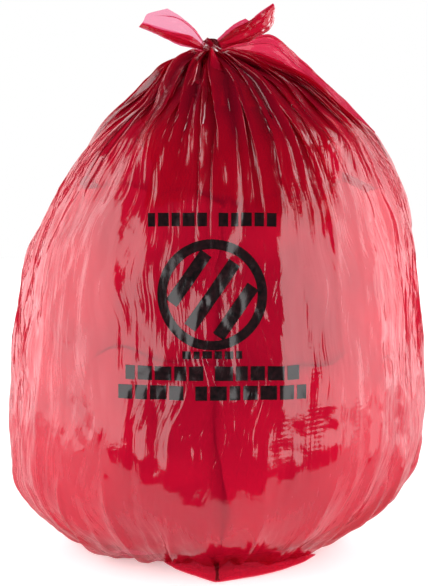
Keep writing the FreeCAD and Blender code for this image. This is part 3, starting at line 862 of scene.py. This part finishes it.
# ---------------------------------------- what the bag holds
def make_bundles(material):
    """Soft crumpled bundles that press against each other and almost against the film."""
    around, rows = 112, 72
    angle = np.arange(around) / around * 2 * math.pi
    lift = np.linspace(1, -1, rows)[:, None] * math.pi / 2 * 0.985
    heights, left, right, front, back = STATIONS[::-1].T
    names = sorted(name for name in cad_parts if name.startswith("waste_bundle"))
    for index, name in enumerate(names):
        random = np.random.default_rng(40 + index)
        low, high = (np.array(corner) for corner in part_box(name))
        middle, half = (low + high) / 2, (high - low) / 2
        half = half * ((1.1, 1.1, 1.0) if "top" in name else (1.15, 1.1, 1.35))
        way = np.stack([
            np.cos(lift) * np.sin(angle), -np.cos(lift) * np.cos(angle), np.sin(lift) + 0 * angle
        ], -1)
        full = (np.abs(way) ** 7.0).sum(-1) ** (-1 / 7.0)
        rough = 0.04 * soft_noise(around, rows, 9, 6, random)
        for cells, height in ((16, 0.022), (34, 0.012)):
            rough -= height * np.abs(soft_noise(around, rows, cells, cells // 2, random))
        points = middle + way * half * (full * (1.08 + rough))[..., None]
        x, y, z = points[..., 0], points[..., 1], points[..., 2]
        wavy = 0.007 * np.sin(41 * y + 17 * z) + 0.004 * np.sin(97 * y - 60 * z)
        shelf = 0.012 * np.sin(29 * x + 0.6) * np.cos(23 * y) + 0.005 * np.sin(83 * x + 31 * y)
        if "top" not in name:
            edge = BUNDLE_SPLIT + wavy
            x = np.minimum(x, edge - 0.001) if middle[0] < 0 else np.maximum(x, edge + 0.001)
        if "low" in name:
            z = np.minimum(z, BUNDLE_SHELF + shelf - 0.001)
        elif "mid" in name:
            z = np.clip(z, BUNDLE_SHELF + shelf + 0.001, BUNDLE_CROWN + shelf - 0.001)
        else:
            z = np.maximum(z, BUNDLE_CROWN + shelf + 0.001)
        z = np.clip(z, BUNDLE_LOWEST, BUNDLE_HIGHEST)
        x = x - AXIS_X
        side = np.where(x > 0, np.interp(z, heights, right), np.interp(z, heights, left))
        deep = np.where(y < 0, np.interp(z, heights, front), np.interp(z, heights, back))
        out = np.hypot(x / (side - BUNDLE_GAP), y / (deep - BUNDLE_GAP))
        squeeze = 1 / np.maximum(out, 1)
        points = np.stack([AXIS_X + x * squeeze, y * squeeze, z], -1)
        bundle = dress(grid_mesh(f"{name}_wad", points, closed=True), material)
        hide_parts(name)
        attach(bundle, "bag")


# ---------------------------------------- the print
def on_film(tree, x, z, lift=0.00035):
    """The place on the film's front behind a point, a little proud of it."""
    place, normal, _, _ = tree.ray_cast(Vector((x, -0.4, z)), Vector((0, 1, 0)))
    if normal.y > 0:
        normal = -normal
    return place + lift * normal


def print_patch(name, node, tree, grids, material):
    """Ink laid on the film through flat grids of (x, z) points."""
    parts = []
    for grid in grids:
        points = np.array([[on_film(tree, x, z)[:] for x, z in row] for row in grid])
        parts.append(grid_mesh(name, points))
    with bpy.context.temp_override(
        active_object=parts[0], selected_editable_objects=parts, object=parts[0]
    ):
        bpy.ops.object.join()
    piece = dress(parts[0], material)
    piece.name = name
    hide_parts(node)
    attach(piece, "bag")


def block_grid(x, z, width, height, turn=0.0, cell=0.0009):
    """A turned rectangle of points, as fine as a cell."""
    across = np.linspace(-width / 2, width / 2, max(3, int(width / cell)))
    up = np.linspace(height / 2, -height / 2, max(3, int(height / cell)))
    u, v = np.meshgrid(across, up)
    c, s = math.cos(turn), math.sin(turn)
    return np.stack([x + c * u + s * v, z - s * u + c * v], -1)


MARK_X, MARK_Z, MARK_RADIUS, MARK_BAND = -0.003, 0.256, 0.046, 0.008
BAR_WIDTH, BAR_SPACING, BAR_TILT = 0.011, 0.024, math.radians(35)
BLOCK_GAP, WORD_SPACE = 0.0024, 0.005
ROWS = {                            # height, block height, arc radius, block widths in mm
    "arc": (0.3180, 0.0110, 2.400, (6, 9, 7, 10, 8, 0, 8, 6, 9, 8, 8)),
    "small": (0.2060, 0.0065, None, (7, 5, 8, 6, 7, 5)),
    "upper": (0.1905, 0.0120, None, (8, 12, 14, 10, 12, 0, 15, 10, 12, 14, 10)),
    "lower": (0.1740, 0.0120, None, (12, 10, 14, 12, 0, 10, 14, 9, 12, 14, 12, 8)),
}


def make_print(film, material):
    """A plain ring with slanting bars, and rows of plain blocks."""
    points = [v.co for v in film.data.vertices]
    tree = BVHTree.FromPolygons(points, [list(p.vertices) for p in film.data.polygons])
    turn = np.linspace(0, 2 * math.pi, 241)
    reach = np.linspace(MARK_RADIUS, MARK_RADIUS - MARK_BAND, 9)[:, None]
    ring = np.stack([MARK_X + reach * np.sin(turn), MARK_Z + reach * np.cos(turn)], -1)
    grids = [ring]
    inside = MARK_RADIUS - MARK_BAND
    for place in (-1, 0, 1):
        offset = place * BAR_SPACING
        x = MARK_X + offset * math.cos(BAR_TILT)
        z = MARK_Z - offset * math.sin(BAR_TILT)
        tall = 2 * 0.86 * math.sqrt(inside**2 - offset**2)
        grids.append(block_grid(x, z, BAR_WIDTH, tall, BAR_TILT))
    print_patch("ink_mark", "print_mark", tree, grids, material)
    for word, (height, block, radius, widths) in ROWS.items():
        spans = [MM * width if width else WORD_SPACE for width in widths]
        x = -(sum(spans) + BLOCK_GAP * (len(spans) - 1)) / 2
        grids = []
        for width, span in zip(widths, spans):
            middle = x + span / 2
            x += span + BLOCK_GAP
            if width:
                turn = math.asin(middle / radius) if radius else 0.0
                drop = radius * (1 - math.cos(turn)) if radius else 0.0
                grids.append(block_grid(MARK_X + middle, height - drop, span, block, turn))
        print_patch(f"ink_row_{word}", f"print_row_{word}", tree, grids, material)


# ---------------------------------------- stage, lights and camera
def make_stage():
    """A white table top; past it the camera sees the white of the room."""
    across, deep = np.linspace(-0.8, 0.8, 17), np.linspace(2.2, -0.27, 26)
    rows = np.array([[(x, y, 0.0) for x in across] for y in deep])
    floor = grid_mesh("studio_floor", rows)
    material, tree, add = new_material("studio_white")
    shader = add("ShaderNodeBsdfPrincipled", Base_Color=(0.9, 0.9, 0.9, 1), Roughness=0.9)
    shader.inputs["Emission Color"].default_value = (1, 1, 1, 1)
    shader.inputs["Emission Strength"].default_value = 0.35
    show(tree, shader)
    dress(floor, material)


def soft_box(name, place, aim, width, height, power, roll=0.0):
    """A large rectangular studio light; roll, in degrees, tips it about its own aim."""
    data = bpy.data.lights.new(name, "AREA")
    data.shape = "RECTANGLE"
    data.size, data.size_y = width, height
    data.energy = power
    lamp = bpy.data.objects.new(name, data)
    lamp.location = place
    lamp.rotation_euler = (Vector(aim) - Vector(place)).to_track_quat("-Z", "Y").to_euler()
    lamp.rotation_euler.rotate_axis("Z", math.radians(roll))
    bpy.context.scene.collection.objects.link(lamp)


def make_lights():
    """A long soft box along each side, a weak one behind, and a room that is dim but for
    the white behind the object."""
    soft_box("soft_left", (-1.25, -1.25, 0.55), (0, -1.25, 0.55), 4.5, 1.70, 85, -6)
    soft_box("soft_right", (1.30, -1.35, 0.51), (0, -1.35, 0.51), 4.5, 1.90, 100, 5)
    soft_box("soft_back", (0.0, 2.3, 0.90), (0, 0, 0.90), 3.0, 1.7, 48)
    world = bpy.data.worlds.new("room")
    world.use_nodes = True
    tree = world.node_tree
    tree.nodes["Background"].inputs[0].default_value = (0.02, 0.02, 0.02, 1)
    white = tree.nodes.new("ShaderNodeBackground")
    white.inputs[0].default_value = (1, 1, 1, 1)
    path = tree.nodes.new("ShaderNodeLightPath")
    mix = tree.nodes.new("ShaderNodeMixShader")
    tree.links.new(path.outputs["Is Camera Ray"], mix.inputs[0])
    tree.links.new(tree.nodes["Background"].outputs[0], mix.inputs[1])
    tree.links.new(white.outputs[0], mix.inputs[2])
    tree.links.new(mix.outputs[0], tree.nodes["World Output"].inputs[0])
    bpy.context.scene.world = world
    bpy.context.scene.view_settings.view_transform = "Standard"


def make_camera():
    """The photograph's view: level with the bag's middle, looking slightly down."""
    data = bpy.data.cameras.new("camera")
    data.lens = 105.7
    camera = bpy.data.objects.new("camera", data)
    camera.location = (-0.0015, -1.5844, 0.4579)
    camera.rotation_euler = (math.radians(90 - 8), 0, 0)
    bpy.context.scene.collection.objects.link(camera)
    bpy.context.scene.camera = camera


# ---------------------------------------- build
film_red = film_material("film_red", haze=0.45, body=True)
film_fold = film_material(
    "film_fold", tint=(0.78, 0.02, 0.09, 1), pigment=(0.78, 0.002, 0.045, 1), haze=0.55
)
film_tight = film_material(
    "film_tight", tint=(0.4, 0.01, 0.04, 1), pigment=(0.16, 0.001, 0.008, 1), haze=0.85,
    gloss=0.34, ior=1.32,
)
film_ear = film_material(
    "film_ear", tint=(0.95, 0.45, 0.60, 1), pigment=(0.85, 0.03, 0.14, 1), haze=0.20,
    gloss=0.2, ior=1.4,
)
film_slack = film_material(
    "film_slack", tint=(0.90, 0.25, 0.38, 1), pigment=(0.80, 0.012, 0.09, 1), haze=0.30,
    gloss=0.2, ior=1.4,
)
film_tail = film_material(
    "film_tail", tint=(0.92, 0.30, 0.44, 1), pigment=(0.88, 0.003, 0.06, 1), haze=0.45
)
film_crushed = film_material(
    "film_crushed", tint=(0.80, 0.09, 0.2, 1), pigment=(0.55, 0.003, 0.035, 1), haze=0.4,
    gloss=0.22, crinkle=1.4, ior=1.4,
)
ink = ink_material()
soft_waste = waste_material()

net, pleat_valley_shade = relaxed_film()
film = dress(grid_mesh("film_skin", net, closed=True), film_red)
# the painted shade mask of the pleat valleys, read by the film material
layer = film.data.attributes.new("pleat_valley_shade", "FLOAT", "POINT")
layer.data.foreach_set("value", pleat_valley_shade.reshape(-1).astype(np.float32))
lay_out(film, net.shape[1], net.shape[0], FILM_ROUND, FILM_ALONG)
make_print(film, ink)
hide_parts("film_body", "gathered_neck")
inner = dress(grid_mesh("film_inner_fold", inner_fold(net), closed=True), film_fold)
for piece in (film, inner):
    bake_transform(piece)
make_bundles(soft_waste)
make_knot(film_tight, film_crushed)
make_ears(film_ear, film_crushed)
make_shoulder_fold(film_slack)
make_seal_tail(film_tail, film_tight)

make_stage()
make_lights()
make_camera()
